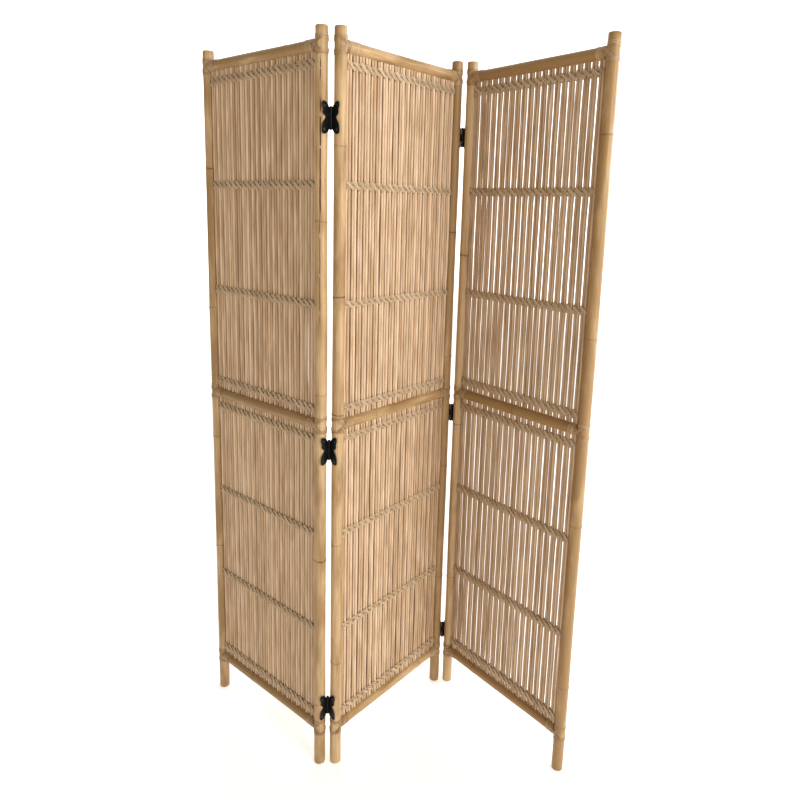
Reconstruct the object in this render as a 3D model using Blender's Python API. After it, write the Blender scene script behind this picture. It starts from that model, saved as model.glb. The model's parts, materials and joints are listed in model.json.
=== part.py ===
"""Three-panel folding room divider screen: rattan poles, woven rod infill and butterfly hinges.

The frame is +Z up with the origin on the floor under the middle of the screen, and -Y is its front.
Each panel is two posts and three rails. The rails' tenons sit in sockets in the posts, and cane
lashings bind every joint. A weave of rods fills each bay, its rods gripped by grooves in the rails.
Two folds with three hinges each join the panels.
"""

import math

import bmesh
import bpy
from mathutils import Matrix, Vector

CLEARANCE = 0.0003

# Posts and rails
POST_HEIGHT = 1.800
POST_CHAMFER = 0.0015
POST_SPACING = 0.420  # centre to centre across one panel
RAIL_DIAMETER = 0.027
POST_OVER_RAIL = 0.001  # how much thicker a post is than a rail
TOP_RAIL_DROP = 0.038  # post top to top rail centre
MID_RAIL_HEIGHT = 0.917
BOTTOM_RAIL_HEIGHT = 0.106
TENON_DIAMETER = 0.012
TENON_DEPTH = 0.010  # into the post, from its surface
GROOVE_DEPTH = 0.005

# Woven infill: pairs of thin rods held by bands of cane
ROD_DIAMETER = 0.0072
PAIRS_PER_PANEL = 20
ROD_GRIP = 0.004  # how far the rods reach into a rail's groove
BAND_HEIGHT = 0.020
BAND_OFFSET = 0.037  # rail centre to the centre of the band beside it
BAND_STEPS = (0.0, 0.322, 0.670, 1.0)  # places of a bay's bands between its lowest and highest

# Cane lashings
CANE_THICKNESS = 0.001
COLLAR_RISE = 0.006  # the collar round the post reaches this far past the sleeve
SLEEVE_LENGTH = 0.020  # along the rail, from the post's surface

# Butterfly hinges
LEAF_HEIGHT = 0.068
LEAF_WIDTH = 0.025  # pin axis to wing tip
LEAF_THICKNESS = 0.0012
BARREL_LENGTH = 0.048
MIDDLE_KNUCKLE = 0.018
KNUCKLE_DIAMETER = 0.006
PIN_DIAMETER = 0.0028
PIN_HEAD_DIAMETER = 0.0048
PIN_HEAD_HEIGHT = 0.001
AXIS_OFFSET = 0.013  # pin axis to the panel's mid-plane, on the side that the fold closes towards
TOP_HINGE_DROP = 0.150  # below the top rail
MID_HINGE_DROP = 0.062  # below the middle rail
BOTTOM_HINGE_RISE = 0.060  # above the bottom rail
# One wing's edge from the foot of the barrel to its head, as shares of leaf width and half height
LEAF_OUTLINE = (
    (0.30, -0.74), (0.50, -1.00), (1.00, -1.00), (0.96, -0.42), (0.56, -0.02),
    (0.92, 0.26), (0.84, 0.50), (1.00, 1.00), (0.62, 1.00), (0.30, 0.72),
)
LEAF_ROUNDING = 0.0035

# Stored pose: angles between the panels, and the middle panel's turn from the X axis
LEFT_FOLD_ANGLE = math.radians(90)
RIGHT_FOLD_ANGLE = math.radians(80)
MID_PANEL_YAW = math.radians(49)

POLE_SIDES = 12
TENON_SIDES = 8
BARREL_SIDES = 8

# Worked out from the sizes above
POST_DIAMETER = RAIL_DIAMETER + POST_OVER_RAIL
POST_RADIUS = POST_DIAMETER / 2
RAIL_RADIUS = RAIL_DIAMETER / 2
BAY_WIDTH = POST_SPACING - POST_DIAMETER
TOP_RAIL_HEIGHT = POST_HEIGHT - TOP_RAIL_DROP
RAIL_HEIGHTS = {"top": TOP_RAIL_HEIGHT, "mid": MID_RAIL_HEIGHT, "bottom": BOTTOM_RAIL_HEIGHT}
RAIL_GROOVES = {"top": (-1,), "mid": (-1, 1), "bottom": (1,)}  # sides grooved: -1 below, 1 above
HINGE_HEIGHTS = {
    "top": TOP_RAIL_HEIGHT - TOP_HINGE_DROP,
    "mid": MID_RAIL_HEIGHT - MID_HINGE_DROP,
    "bottom": BOTTOM_RAIL_HEIGHT + BOTTOM_HINGE_RISE,
}
PAIR_WIDTH = 2 * ROD_DIAMETER
PAIR_PITCH = BAY_WIDTH / PAIRS_PER_PANEL
SLEEVE_RADIUS = RAIL_RADIUS + CLEARANCE + CANE_THICKNESS
COLLAR_RADIUS = POST_RADIUS + CLEARANCE + CANE_THICKNESS
LEAF_NEAR_FACE = CLEARANCE / 2  # from the pin axis to the leaf's inner face
AXIS_TO_POST = LEAF_NEAR_FACE + LEAF_THICKNESS + CLEARANCE + POST_RADIUS
PIN_BORE_RADIUS = PIN_DIAMETER / 2 + CLEARANCE
KNUCKLE_RADIUS = KNUCKLE_DIAMETER / 2


def clear_scene():
    """Remove every object the file holds."""
    for item in list(bpy.data.objects):
        bpy.data.objects.remove(item, do_unlink=True)


def make_material(name, color, roughness, metallic=0.0):
    """Return a Principled material with the given look."""
    material = bpy.data.materials.new(name)
    material.use_nodes = True
    shader = material.node_tree.nodes["Principled BSDF"]
    shader.inputs["Base Color"].default_value = (*color, 1.0)
    shader.inputs["Roughness"].default_value = roughness
    shader.inputs["Metallic"].default_value = metallic
    return material


def finish_mesh(name, shape):
    """Turn a bmesh into a mesh with outward faces, smooth on its round parts."""
    bmesh.ops.recalc_face_normals(shape, faces=shape.faces)
    mesh = bpy.data.meshes.new(name)
    shape.to_mesh(mesh)
    shape.free()
    mesh.shade_smooth()
    mesh.set_sharp_from_angle(angle=math.radians(35))
    return mesh


def turned(name, profile, sides, along_x=False):
    """Return a closed turned solid from its (radius, height) profile, lying along X if asked."""
    shape = bmesh.new()
    rings = []
    for radius, height in profile:
        angles = [2 * math.pi * (side + 0.5) / sides for side in range(sides)]
        rings.append([shape.verts.new((radius * math.cos(a), radius * math.sin(a), height)) for a in angles])
    for lower, upper in zip(rings, rings[1:]):
        for side in range(sides):
            after = (side + 1) % sides
            shape.faces.new((lower[side], lower[after], upper[after], upper[side]))
    shape.faces.new(rings[0])
    shape.faces.new(rings[-1])
    if along_x:
        bmesh.ops.rotate(shape, verts=shape.verts, matrix=Matrix.Rotation(math.pi / 2, 3, "Y"))
    return finish_mesh(name, shape)


def bar(name, radius, start, end, sides, along_x=False):
    """Return a plain round bar from start to end along its axis."""
    return turned(name, [(radius, start), (radius, end)], sides, along_x)


def block(name, low, high):
    """Return a rectangular block between two corners."""
    shape = bmesh.new()
    bmesh.ops.create_cube(shape, size=1.0)
    low, high = Vector(low), Vector(high)
    for vert in shape.verts:
        vert.co = Vector([l + (c + 0.5) * (h - l) for c, l, h in zip(vert.co, low, high)])
    return finish_mesh(name, shape)


def combine(mesh, tool_mesh, operation):
    """Return the closed mesh left when a tool is united with or cut from another mesh."""
    target = bpy.data.objects.new("target", mesh)
    tool = bpy.data.objects.new("tool", tool_mesh)
    for item in (target, tool):
        bpy.context.scene.collection.objects.link(item)
    modifier = target.modifiers.new("combine", "BOOLEAN")
    modifier.operation = operation
    modifier.object = tool
    evaluated = target.evaluated_get(bpy.context.evaluated_depsgraph_get())
    result = bpy.data.meshes.new_from_object(evaluated)
    result.name = mesh.name
    for item in (target, tool):
        bpy.data.objects.remove(item)
    return result


def post_mesh():
    """Return a post with chamfered ends and a blind socket for each rail's tenon on its +X side."""
    inset = POST_RADIUS - POST_CHAMFER
    profile = [
        (inset, 0.0),
        (POST_RADIUS, POST_CHAMFER),
        (POST_RADIUS, POST_HEIGHT - POST_CHAMFER),
        (inset, POST_HEIGHT),
    ]
    mesh = turned("post", profile, POLE_SIDES)
    socket_floor = POST_RADIUS - TENON_DEPTH - CLEARANCE
    for height in RAIL_HEIGHTS.values():
        drill = bar("drill", TENON_DIAMETER / 2 + CLEARANCE, socket_floor, POST_DIAMETER, TENON_SIDES, True)
        drill.transform(Matrix.Translation((0, 0, height)))
        mesh = combine(mesh, drill, "DIFFERENCE")
    return mesh


def rail_mesh(name, grooved_sides):
    """Return a rail along X, coped to the posts, with a tenon at each end and grooves for the rods."""
    reach = POST_SPACING / 2
    mesh = bar(name, RAIL_RADIUS, -reach, reach, POLE_SIDES, True)
    for end in (-reach, reach):
        cope = bar("cope", POST_RADIUS + CLEARANCE, -RAIL_DIAMETER, RAIL_DIAMETER, POLE_SIDES)
        cope.transform(Matrix.Translation((end, 0, 0)))
        mesh = combine(mesh, cope, "DIFFERENCE")
    tip = BAY_WIDTH / 2 + TENON_DEPTH
    mesh = combine(mesh, bar("tenon", TENON_DIAMETER / 2, -tip, tip, TENON_SIDES, True), "UNION")
    half_length = max(abs(x) for x in column_centres() if not under_sleeve(x)) + PAIR_WIDTH / 2 + CLEARANCE
    half_width = ROD_DIAMETER / 2 + CLEARANCE
    for side in grooved_sides:
        floor, mouth = sorted((side * (RAIL_RADIUS - GROOVE_DEPTH), side * RAIL_DIAMETER))
        groove = block("groove", (-half_length, -half_width, floor), (half_length, half_width, mouth))
        mesh = combine(mesh, groove, "DIFFERENCE")
    return mesh


def column_centres():
    """Return the X places of a panel's rod pairs."""
    return [(k + 0.5) * PAIR_PITCH - BAY_WIDTH / 2 for k in range(PAIRS_PER_PANEL)]


def under_sleeve(x):
    """Tell whether the rod pair at x meets a rail where a lashing's sleeve covers it."""
    return abs(x) + PAIR_WIDTH / 2 + CLEARANCE > BAY_WIDTH / 2 - SLEEVE_LENGTH


def weave_mesh(name, low_rail, high_rail):
    """Return one bay's weave: upright rod pairs from rail to rail, joined by the woven bands."""
    low_band = low_rail + BAND_OFFSET
    high_band = high_rail - BAND_OFFSET
    levels = []
    for step in BAND_STEPS:
        middle = low_band + step * (high_band - low_band)
        levels += [middle - BAND_HEIGHT / 2, middle + BAND_HEIGHT / 2]
    shape = bmesh.new()
    columns = []
    for centre in column_centres():
        short_of_centre = RAIL_RADIUS - ROD_GRIP
        if under_sleeve(centre):
            short_of_centre = SLEEVE_RADIUS + CLEARANCE
        heights = [low_rail + short_of_centre, *levels, high_rail - short_of_centre]
        for x in (centre - PAIR_WIDTH / 2, centre + PAIR_WIDTH / 2):
            columns.append([shape.verts.new((x, -ROD_DIAMETER / 2, z)) for z in heights])
    for number, (left, right) in enumerate(zip(columns, columns[1:])):
        between_pairs = number % 2 == 1
        for row in range(len(left) - 1):
            in_band = row % 2 == 1
            if in_band or not between_pairs:
                shape.faces.new((left[row], right[row], right[row + 1], left[row + 1]))
    back = bmesh.ops.extrude_face_region(shape, geom=list(shape.faces), use_keep_orig=True)
    moved = [item for item in back["geom"] if isinstance(item, bmesh.types.BMVert)]
    bmesh.ops.translate(shape, verts=moved, vec=(0, ROD_DIAMETER, 0))
    return finish_mesh(name, shape)


def lashing_mesh():
    """Return the cane bound round a post at the origin and round the end of a rail towards +X."""
    half_height = SLEEVE_RADIUS + COLLAR_RISE
    sleeve_end = POST_RADIUS + SLEEVE_LENGTH
    mesh = bar("lashing", COLLAR_RADIUS, -half_height, half_height, POLE_SIDES)
    mesh = combine(mesh, bar("sleeve", SLEEVE_RADIUS, 0, sleeve_end, POLE_SIDES, True), "UNION")
    post_space = bar("post_space", POST_RADIUS + CLEARANCE, -POST_DIAMETER - half_height,
                     POST_DIAMETER + half_height, POLE_SIDES)
    rail_space = bar("rail_space", RAIL_RADIUS + CLEARANCE, 0, sleeve_end + RAIL_RADIUS, POLE_SIDES, True)
    mesh = combine(mesh, post_space, "DIFFERENCE")
    return combine(mesh, rail_space, "DIFFERENCE")


def rounded(corners, radius):
    """Return an outline whose inner corners are cut back by the given size."""
    outline = [corners[0]]
    for before, corner, after in zip(corners, corners[1:], corners[2:]):
        for towards in (before - corner, after - corner):
            outline.append(corner + towards.normalized() * min(radius, towards.length * 0.45))
    return outline + [corners[-1]]


def leaf_mesh(name, owns_middle):
    """Return a hinge leaf about its pin axis: it lies towards -Y, just to the -X side of the axis.

    The leaf that owns the middle knuckle is notched for the other leaf's two, and the other way round.
    """
    join = (PIN_BORE_RADIUS + KNUCKLE_RADIUS) / 2
    notch = KNUCKLE_RADIUS + 2 * CLEARANCE
    middle_root, outer_root = (join, notch) if owns_middle else (notch, join)
    half_barrel = BARREL_LENGTH / 2
    gap = CLEARANCE / 2 if owns_middle else -CLEARANCE / 2
    split = MIDDLE_KNUCKLE / 2 - gap
    edge = [Vector((LEAF_WIDTH * u, LEAF_HEIGHT / 2 * z)) for u, z in LEAF_OUTLINE]
    root_low, root_high = Vector((outer_root, -half_barrel)), Vector((outer_root, half_barrel))
    outline = rounded([root_low, *edge, root_high], LEAF_ROUNDING)
    outline += [
        Vector((outer_root, split)),
        Vector((middle_root, split)),
        Vector((middle_root, -split)),
        Vector((outer_root, -split)),
    ]
    shape = bmesh.new()
    face = shape.faces.new([shape.verts.new((-LEAF_NEAR_FACE, -point.x, point.y)) for point in outline])
    sheet = bmesh.ops.extrude_face_region(shape, geom=[face], use_keep_orig=True)
    moved = [item for item in sheet["geom"] if isinstance(item, bmesh.types.BMVert)]
    bmesh.ops.translate(shape, verts=moved, vec=(-LEAF_THICKNESS, 0, 0))
    mesh = finish_mesh(name, shape)
    spans = [(-split, split)] if owns_middle else [(-half_barrel, -split), (split, half_barrel)]
    for low, high in spans:
        mesh = combine(mesh, bar("knuckle", KNUCKLE_RADIUS, low, high, BARREL_SIDES), "UNION")
        bore = bar("bore", PIN_BORE_RADIUS, low - CLEARANCE, high + CLEARANCE, BARREL_SIDES)
        mesh = combine(mesh, bore, "DIFFERENCE")
    return mesh


def pin_mesh():
    """Return a hinge pin with a peened head at each end of the barrel."""
    neck = BARREL_LENGTH / 2 + CLEARANCE
    head = neck + PIN_HEAD_HEIGHT
    profile = [
        (PIN_HEAD_DIAMETER / 2, -head),
        (PIN_HEAD_DIAMETER / 2, -neck),
        (PIN_DIAMETER / 2, -neck),
        (PIN_DIAMETER / 2, neck),
        (PIN_HEAD_DIAMETER / 2, neck),
        (PIN_HEAD_DIAMETER / 2, head),
    ]
    return turned("pin", profile, BARREL_SIDES)


def empty(name, parent=None, location=(0, 0, 0), yaw=0.0):
    """Add an empty that holds a panel or the whole screen."""
    holder = bpy.data.objects.new(name, None)
    bpy.context.scene.collection.objects.link(holder)
    holder.parent = parent
    holder.location = location
    holder.rotation_euler.z = yaw
    return holder


def place(name, mesh, material, parent, location, yaw=0.0):
    """Add one sub-part to its panel."""
    part = bpy.data.objects.new(name, mesh.copy())
    part.data.materials.clear()
    part.data.materials.append(material)
    bpy.context.scene.collection.objects.link(part)
    part.parent = parent
    part.location = location
    part.rotation_euler.z = yaw
    return part


def add_panel(holder, centre, meshes, finishes):
    """Add a panel's posts, rails, lashings and weaves, its middle at centre in the holder's frame."""
    name = holder.name
    for side, direction in (("left", -1), ("right", 1)):
        foot = centre + Vector((direction * POST_SPACING / 2, 0, 0))
        turn = 0.0 if side == "left" else math.pi
        place(f"{name}_{side}_post", meshes["post"], finishes["pole"], holder, foot, turn)
        for level, height in RAIL_HEIGHTS.items():
            joint = foot + Vector((0, 0, height))
            place(f"{name}_{level}_{side}_lashing", meshes["lashing"], finishes["cane"], holder, joint, turn)
    for level, height in RAIL_HEIGHTS.items():
        middle = centre + Vector((0, 0, height))
        place(f"{name}_{level}_rail", meshes[f"{level}_rail"], finishes["pole"], holder, middle)
    for bay in ("upper", "lower"):
        place(f"{name}_{bay}_weave", meshes[f"{bay}_weave"], finishes["rods"], holder, centre)


def add_fold(fold, mid_panel, outer_panel, side, meshes, finishes):
    """Add the three hinges of one fold. The side is -1 for the left fold and 1 for the right."""
    turn = 0.0 if side < 0 else math.pi
    axis = fold_axis(side)
    for level, height in HINGE_HEIGHTS.items():
        rise = Vector((0, 0, height))
        name = f"{fold}_{level}_hinge"
        place(f"{name}_outer_leaf", meshes["outer_leaf"], finishes["hinge"], outer_panel, rise, turn)
        place(f"{name}_mid_leaf", meshes["mid_leaf"], finishes["hinge"], mid_panel, axis + rise, turn)
        place(f"{name}_pin", meshes["pin"], finishes["pin"], mid_panel, axis + rise)


def fold_axis(side):
    """Return a fold's pin axis in the middle panel's frame."""
    return Vector((side * (POST_SPACING / 2 + AXIS_TO_POST), -side * AXIS_OFFSET, 0))


def outer_centre(side):
    """Return the middle of a fold's outer panel, in that panel's own frame about the pin axis."""
    axis = fold_axis(side)
    return Vector((axis.x, -axis.y, 0))


def stand_on_origin(screen):
    """Move the screen so that the origin is the bottom centre of its bounding box."""
    bpy.context.view_layer.update()
    corners = []
    for part in bpy.data.objects:
        if part.type == "MESH":
            corners += [part.matrix_world @ vert.co for vert in part.data.vertices]
    low = Vector([min(corner[axis] for corner in corners) for axis in range(3)])
    high = Vector([max(corner[axis] for corner in corners) for axis in range(3)])
    screen.location = (-(low.x + high.x) / 2, -(low.y + high.y) / 2, -low.z)
    bpy.context.view_layer.update()


def make_meshes():
    """Return the shapes that the panels and folds repeat."""
    meshes = {"post": post_mesh(), "lashing": lashing_mesh(), "pin": pin_mesh()}
    for level, grooved_sides in RAIL_GROOVES.items():
        meshes[f"{level}_rail"] = rail_mesh(f"{level}_rail", grooved_sides)
    meshes["upper_weave"] = weave_mesh("upper_weave", MID_RAIL_HEIGHT, TOP_RAIL_HEIGHT)
    meshes["lower_weave"] = weave_mesh("lower_weave", BOTTOM_RAIL_HEIGHT, MID_RAIL_HEIGHT)
    meshes["outer_leaf"] = leaf_mesh("outer_leaf", owns_middle=False)
    mid_leaf = leaf_mesh("mid_leaf", owns_middle=True)
    mid_leaf.transform(Matrix.Scale(-1, 4, (1, 0, 0)))
    mid_leaf.flip_normals()
    meshes["mid_leaf"] = mid_leaf
    return meshes


def make_finishes():
    """Return the materials by the kind of piece that wears them."""
    return {
        "pole": make_material("rattan_pole", (0.72, 0.50, 0.28), 0.45),
        "rods": make_material("rattan_rods", (0.80, 0.60, 0.38), 0.55),
        "cane": make_material("bound_cane", (0.78, 0.58, 0.34), 0.50),
        "hinge": make_material("black_hinge_steel", (0.012, 0.011, 0.012), 0.40, 0.6),
        "pin": make_material("black_pin_steel", (0.03, 0.03, 0.03), 0.35, 0.9),
    }


def main():
    """Build the screen in its stored pose."""
    clear_scene()
    meshes = make_meshes()
    finishes = make_finishes()
    screen = empty("screen")
    mid_panel = empty("mid_panel", screen, yaw=MID_PANEL_YAW)
    left_panel = empty("left_panel", mid_panel, fold_axis(-1), LEFT_FOLD_ANGLE - math.pi)
    right_panel = empty("right_panel", mid_panel, fold_axis(1), RIGHT_FOLD_ANGLE - math.pi)
    add_panel(mid_panel, Vector((0, 0, 0)), meshes, finishes)
    add_panel(left_panel, outer_centre(-1), meshes, finishes)
    add_panel(right_panel, outer_centre(1), meshes, finishes)
    add_fold("left_fold", mid_panel, left_panel, -1, meshes, finishes)
    add_fold("right_fold", mid_panel, right_panel, 1, meshes, finishes)
    stand_on_origin(screen)


if __name__ == "__main__":
    main()
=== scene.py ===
"""Looks of the three-panel rattan folding screen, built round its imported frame.

Every piece is made in metres in the frame's own space, rides on a panel and stands for the frame node
that it details. A panel's local X runs along it, local Z is up and local -Y is the face that the viewer
sees.
"""

from __future__ import annotations

import json
import logging
import math
from dataclasses import dataclass, field, replace
from enum import Enum
from typing import Any, Union

import bmesh
import bpy
import numpy as np
from mathutils import Matrix, Vector

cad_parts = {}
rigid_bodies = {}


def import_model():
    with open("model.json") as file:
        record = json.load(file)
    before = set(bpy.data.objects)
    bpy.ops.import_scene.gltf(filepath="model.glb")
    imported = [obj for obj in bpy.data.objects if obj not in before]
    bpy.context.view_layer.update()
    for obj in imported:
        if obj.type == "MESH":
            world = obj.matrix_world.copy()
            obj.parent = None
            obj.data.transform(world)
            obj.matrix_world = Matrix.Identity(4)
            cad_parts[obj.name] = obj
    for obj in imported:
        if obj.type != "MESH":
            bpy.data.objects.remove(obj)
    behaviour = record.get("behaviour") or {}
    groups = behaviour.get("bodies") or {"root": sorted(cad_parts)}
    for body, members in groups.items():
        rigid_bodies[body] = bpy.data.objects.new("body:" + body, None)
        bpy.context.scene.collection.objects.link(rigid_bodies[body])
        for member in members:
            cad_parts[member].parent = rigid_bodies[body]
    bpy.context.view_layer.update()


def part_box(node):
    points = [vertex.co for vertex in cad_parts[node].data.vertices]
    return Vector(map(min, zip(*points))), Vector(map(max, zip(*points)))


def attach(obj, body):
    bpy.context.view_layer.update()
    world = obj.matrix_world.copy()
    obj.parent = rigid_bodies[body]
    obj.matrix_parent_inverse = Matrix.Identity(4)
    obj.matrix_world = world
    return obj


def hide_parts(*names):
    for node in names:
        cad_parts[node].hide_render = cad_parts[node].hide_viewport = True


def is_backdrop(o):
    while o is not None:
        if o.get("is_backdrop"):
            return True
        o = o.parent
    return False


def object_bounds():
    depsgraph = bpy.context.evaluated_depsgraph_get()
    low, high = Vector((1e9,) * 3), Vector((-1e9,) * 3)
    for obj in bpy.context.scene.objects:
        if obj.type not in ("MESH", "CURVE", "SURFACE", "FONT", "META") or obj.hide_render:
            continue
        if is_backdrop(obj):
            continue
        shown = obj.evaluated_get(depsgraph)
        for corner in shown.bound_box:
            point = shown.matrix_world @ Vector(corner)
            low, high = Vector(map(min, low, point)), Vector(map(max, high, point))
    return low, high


LOG = logging.getLogger("folding_screen")
MM = 0.001

Array = np.ndarray
Colour = tuple[float, float, float]
Place = tuple[float, float, float]


class Slot(Enum):
    """The record's material slots."""

    POLE = "rattan_pole"
    RODS = "rattan_rods"
    CANE = "bound_cane"
    HINGE = "hinge_steel"
    PIN = "pin_steel"


# ---------------------------------------------------------------- shader arithmetic


class Value:
    """A number that changes over a surface. Arithmetic on it adds Math nodes."""

    def __init__(self, graph: "Graph", socket: bpy.types.NodeSocket) -> None:
        """Wrap a socket of the graph."""
        self.graph = graph
        self.socket = socket

    def __add__(self, other: "Number") -> "Value":
        """Return the sum."""
        return self.graph.math("ADD", self, other)

    __radd__ = __add__

    def __mul__(self, other: "Number") -> "Value":
        """Return the product."""
        return self.graph.math("MULTIPLY", self, other)

    __rmul__ = __mul__

    def __sub__(self, other: "Number") -> "Value":
        """Return self less other."""
        return self.graph.math("SUBTRACT", self, other)

    def __rsub__(self, other: "Number") -> "Value":
        """Return other less self."""
        return self.graph.math("SUBTRACT", other, self)

    def __abs__(self) -> "Value":
        """Return the size without its sign."""
        return self.graph.math("ABSOLUTE", self)


Number = Union[float, Value]


class Graph:
    """A material's node tree, with the few operations that the finishes are written in."""

    def __init__(self, name: str) -> None:
        """Start a material that holds one Principled shader.

        Args:
            name: The material's name.
        """
        self.material = bpy.data.materials.new(name)
        self.material.use_nodes = True
        self.tree = self.material.node_tree
        self.shader = self.tree.nodes["Principled BSDF"]

    def node(self, kind: str, settings: dict[str, Any], sockets: dict[Union[str, int], Any]) -> bpy.types.Node:
        """Add a node.

        Args:
            kind: The node's type.
            settings: Its properties, set before its sockets.
            sockets: A number, colour, Value or socket for each input, by name or place.

        Returns:
            The new node.
        """
        made = self.tree.nodes.new(kind)
        for name, setting in settings.items():
            setattr(made, name, setting)
        for place, given in sockets.items():
            self.feed(made.inputs[place], given)
        return made

    def feed(self, target: bpy.types.NodeSocket, given: Any) -> None:
        """Link a Value or socket to an input, or set the input to a constant.

        Args:
            target: The input.
            given: What it takes.
        """
        if isinstance(given, Value):
            given = given.socket
        if isinstance(given, bpy.types.NodeSocket):
            self.tree.links.new(given, target)
        elif target.type == "RGBA" and len(given) == 3:
            target.default_value = (*given, 1.0)
        else:
            target.default_value = given

    def math(self, operation: str, *given: Number) -> Value:
        """Return a Math node's result on one to three numbers."""
        made = self.node("ShaderNodeMath", {"operation": operation}, dict(enumerate(given)))
        return Value(self, made.outputs[0])

    def attribute(self, name: str) -> bpy.types.Node:
        """Return the node that reads a field stored on the mesh."""
        return self.node("ShaderNodeAttribute", {"attribute_name": name}, {})

    def number(self, name: str) -> Value:
        """Return a number stored on the mesh."""
        return Value(self, self.attribute(name).outputs["Fac"])

    def scaled(self, vector: bpy.types.NodeSocket, by: Place) -> bpy.types.NodeSocket:
        """Return a vector stretched along its three axes."""
        return self.node("ShaderNodeVectorMath", {"operation": "MULTIPLY"}, {0: vector, 1: by}).outputs[0]

    def along(self, vector: bpy.types.NodeSocket, direction: Place) -> Value:
        """Return a vector's part along a direction."""
        made = self.node("ShaderNodeVectorMath", {"operation": "DOT_PRODUCT"}, {0: vector, 1: direction})
        return Value(self, made.outputs["Value"])

    def noise(self, vector: bpy.types.NodeSocket, detail: float = 2.0, rough: float = 0.5) -> Value:
        """Return soft noise from 0 to 1, one feature to each unit of the vector.

        Args:
            vector: The place.
            detail: How many finer layers it has.
            rough: How strong they are.

        Returns:
            The noise.
        """
        sockets = {"Vector": vector, "Scale": 1.0, "Detail": detail, "Roughness": rough}
        made = self.node("ShaderNodeTexNoise", {"noise_dimensions": "3D"}, sockets)
        return Value(self, made.outputs["Fac"])

    def between(self, value: Number, low: float, high: float) -> Value:
        """Return 0 at low and 1 at high, eased and kept in that range.

        Args:
            value: The number to place.
            low: Where the result is 0.
            high: Where it is 1.

        Returns:
            The share.
        """
        made = self.node(
            "ShaderNodeMapRange", {"interpolation_type": "SMOOTHSTEP"}, {"Value": value, 1: low, 2: high}
        )
        return Value(self, made.outputs[0])

    def mix(self, share: Number, first: Any, second: Any) -> bpy.types.NodeSocket:
        """Return the colour between two others."""
        made = self.node("ShaderNodeMix", {"data_type": "RGBA"}, {0: share, 6: first, 7: second})
        return made.outputs[2]

    def bump(self, height: Value, strength: float, distance: float) -> None:
        """Raise the surface by a height field.

        Args:
            height: The field.
            strength: How much of it shows.
            distance: How high 1 stands, in metres.
        """
        sockets = {"Strength": strength, "Distance": distance, "Height": height}
        made = self.node("ShaderNodeBump", {}, sockets)
        self.feed(self.shader.inputs["Normal"], made.outputs[0])

    def finish(self, **sockets: Any) -> bpy.types.Material:
        """Set the shader's sockets and return the material.

        Args:
            sockets: A constant, Value or socket for each input, named with _ for a space.

        Returns:
            The finished material.
        """
        for name, given in sockets.items():
            self.feed(self.shader.inputs[name.replace("_", " ")], given)
        return self.material


# ---------------------------------------------------------------- finishes


@dataclass(frozen=True)
class Crack:
    """A dark split along a pole's fibre."""

    angle: float
    low: float
    high: float
    width: float = 0.55 * MM
    waver: float = 1.6 * MM

    def mask(self, graph: Graph, fibre: bpy.types.NodeSocket, offset: float) -> Value:
        """Return 1 in the split and 0 off it.

        Args:
            graph: The pole's material.
            fibre: The vector of places across and along the pole.
            offset: What the pole adds to its places along the fibre.

        Returns:
            The mask.
        """
        facing = (math.cos(self.angle), math.sin(self.angle), 0.0)
        across = (-math.sin(self.angle), math.cos(self.angle), 0.0)
        drift = graph.noise(graph.scaled(fibre, (0.0, 0.0, 14.0)), 2.0)
        aside = abs(graph.along(fibre, across) + (drift - 0.5) * (2 * self.waver))
        line = 1 - graph.between(aside, self.width * 0.4, self.width * 1.5)
        front = graph.between(graph.along(fibre, facing), 0.0, 4 * MM)
        height = graph.along(fibre, (0.0, 0.0, 1.0)) - offset
        span = graph.between(height, self.low, self.low + 0.02)
        span = span * (1 - graph.between(height, self.high - 0.02, self.high))
        breaks = graph.between(graph.noise(graph.scaled(fibre, (0.0, 0.0, 46.0)), 1.0), 0.33, 0.44)
        return line * front * span * breaks


@dataclass(frozen=True)
class RattanFinish:
    """Peeled rattan: straw tones in long streaks, with specks, scars and painted shade."""

    name: str
    pale: Colour
    warm: Colour
    deep: Colour
    # The colour of specks, scars and painted shade.
    scar_and_shade: Colour
    streak_width: float
    streak_length: float
    specks: float
    roughness: float
    relief: float
    coat: float = 0.0
    offset: float = 0.0
    cracks: tuple[Crack, ...] = ()

    def material(self) -> bpy.types.Material:
        """Build the finish, which reads the fields fibre, tone and scar_and_shade (scars and painted shade) from the
        mesh.

        Returns:
            The material.
        """
        graph = Graph(self.name)
        fibre = graph.attribute("fibre").outputs["Vector"]
        tone = graph.number("tone")
        across, along = 1 / self.streak_width, 1 / self.streak_length
        streaks = graph.noise(graph.scaled(fibre, (across, across, along)), 3.0, 0.6)
        fine = graph.noise(graph.scaled(fibre, (across * 3.1, across * 3.1, along * 2.3)), 2.0, 0.6)
        clouds = graph.noise(graph.scaled(fibre, (38.0, 38.0, 9.0)), 2.0)
        colour = graph.mix(graph.between(streaks, 0.34, 0.68), self.pale, self.warm)
        colour = graph.mix(graph.between(clouds + tone * 0.34, 0.46, 0.86) * 0.78, colour, self.deep)
        colour = graph.mix(graph.between(fine, 0.56, 0.78) * 0.34, colour, self.deep)
        speck_places = graph.scaled(fibre, (620.0, 620.0, 120.0))
        specks = graph.between(graph.noise(speck_places, 1.0), 0.80 - self.specks, 0.86 - self.specks)
        # Specks, scars and painted shade all take the same dark colour.
        mark = graph.math("MAXIMUM", specks * 0.8, graph.number("scar_and_shade"))
        for crack in self.cracks:
            mark = graph.math("MAXIMUM", mark, crack.mask(graph, fibre, self.offset))
        colour = graph.mix(mark, colour, self.scar_and_shade)
        graph.bump(streaks * 0.6 + fine * 0.4 - mark * 0.6, 0.55, self.relief)
        rough = fine * 0.16 + mark * 0.2 + (self.roughness - 0.08)
        return graph.finish(Base_Color=colour, Roughness=rough, Coat_Weight=self.coat, Coat_Roughness=0.35)


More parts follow.
